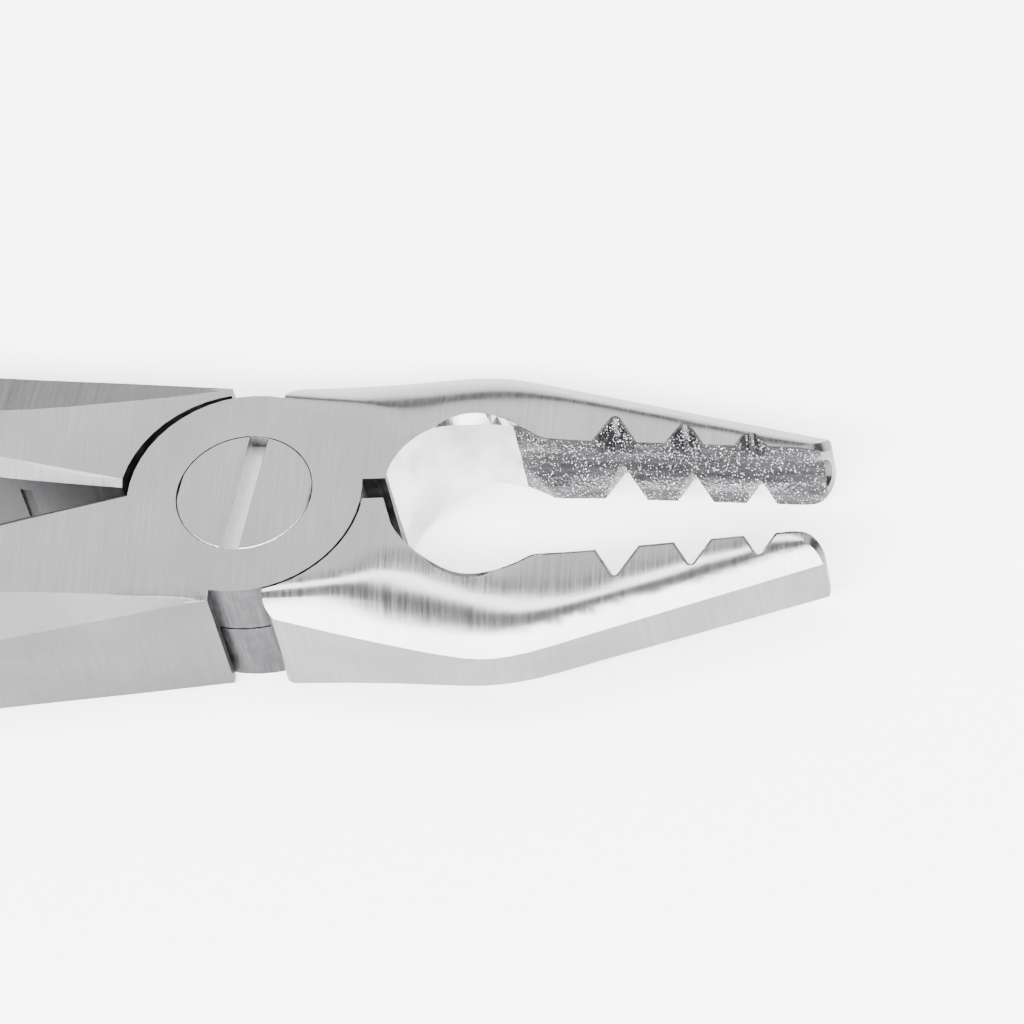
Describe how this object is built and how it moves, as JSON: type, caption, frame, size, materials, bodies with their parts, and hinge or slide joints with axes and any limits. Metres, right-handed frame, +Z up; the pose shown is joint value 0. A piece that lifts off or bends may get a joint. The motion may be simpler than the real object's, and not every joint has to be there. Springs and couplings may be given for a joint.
{
  "type": "dental extraction forceps",
  "caption": "Two-handled steel forceps with a screwed lap joint and notched, hollow-ground, grit-coated beaks that grip and lift a tooth.",
  "frame": {"origin": "on the joint's axis, in the lower flat of the joint, which the forceps rests on", "axes": "+Z up along the joint's axis towards the screw head, +X from the joint to the beak tips, +Y towards the beak of half_a"},
  "size_m": [0.166, 0.0502, 0.0096],
  "materials": {
    "satin_steel": "satin brushed flats, polished jaws",
    "screw_steel": "turned, then ground flush",
    "diamond_grit": "diamond grains held in nickel plating"
  },
  "bodies": {
    "first_half": {"half_a": "satin_steel", "diamond_coating_a": "diamond_grit"},
    "second_half": {"half_b": "satin_steel", "joint_screw": "screw_steel", "diamond_coating_b": "diamond_grit"}
  },
  "joints": [
    {"name": "jaw_hinge", "type": "hinge", "parent": "first_half", "child": "second_half", "pos_m": [0, 0, 0.0048], "axis": [0, 0, 1], "range_deg": [-24, 4.4]}
  ]
}
